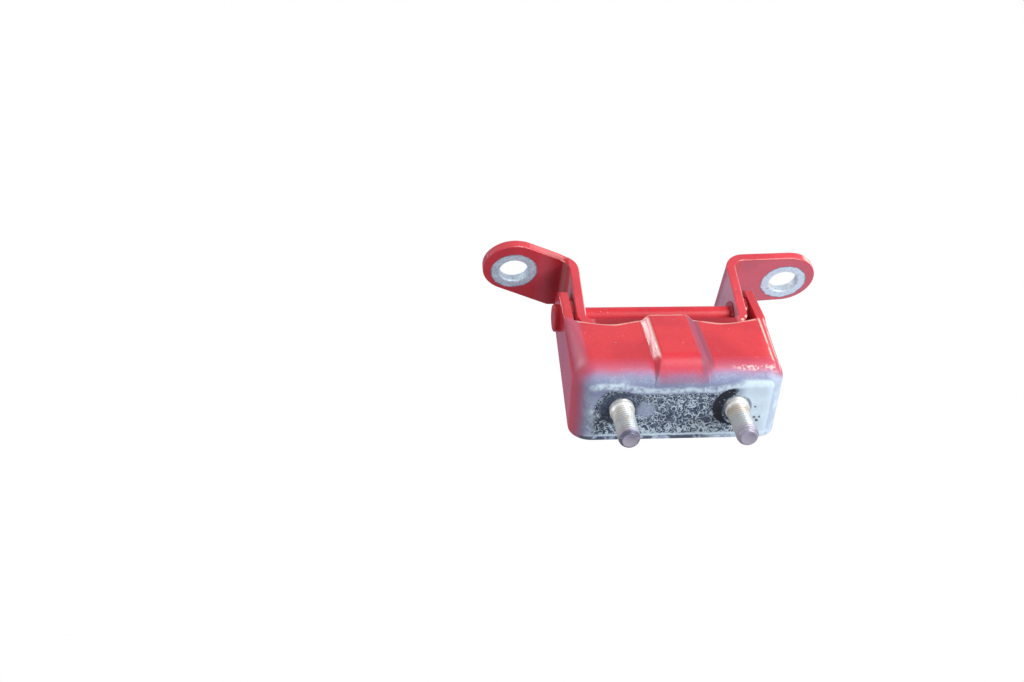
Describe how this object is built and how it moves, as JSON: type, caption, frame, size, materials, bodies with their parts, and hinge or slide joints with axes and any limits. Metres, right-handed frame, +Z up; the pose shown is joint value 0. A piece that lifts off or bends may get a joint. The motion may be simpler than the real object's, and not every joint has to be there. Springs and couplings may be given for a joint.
{
  "type": "car door hinge",
  "caption": "Pressed-steel car door hinge: a winged strap bolts to the pillar and a ribbed bracket with threaded studs fixes to the door, turning on a headed pin in flanged bushes.",
  "frame": {"origin": "midway between the pillar bolt holes, on the seat plane at the back of the wings", "axes": "+X from the pillar seat towards the door, +Y to the side of the door bracket's web, +Z up along the hinge pin, head end up"},
  "size_m": [0.0928, 0.0386, 0.137],
  "materials": {
    "red_paint": "gloss",
    "pin_paint": "gloss",
    "bush_metal": "satin",
    "stud_metal": "satin"
  },
  "bodies": {
    "pillar_side": {"pillar_bracket": "red_paint", "upper_bush": "bush_metal", "lower_bush": "bush_metal"},
    "door_side": {"door_bracket": "red_paint", "hinge_pin": "pin_paint", "upper_stud": "stud_metal", "lower_stud": "stud_metal"}
  },
  "joints": [
    {"name": "door_swing", "type": "hinge", "parent": "pillar_side", "child": "door_side", "pos_m": [0.0252, 0, 0.001], "axis": [0, 0, 1], "range_deg": [-16, 54]}
  ]
}
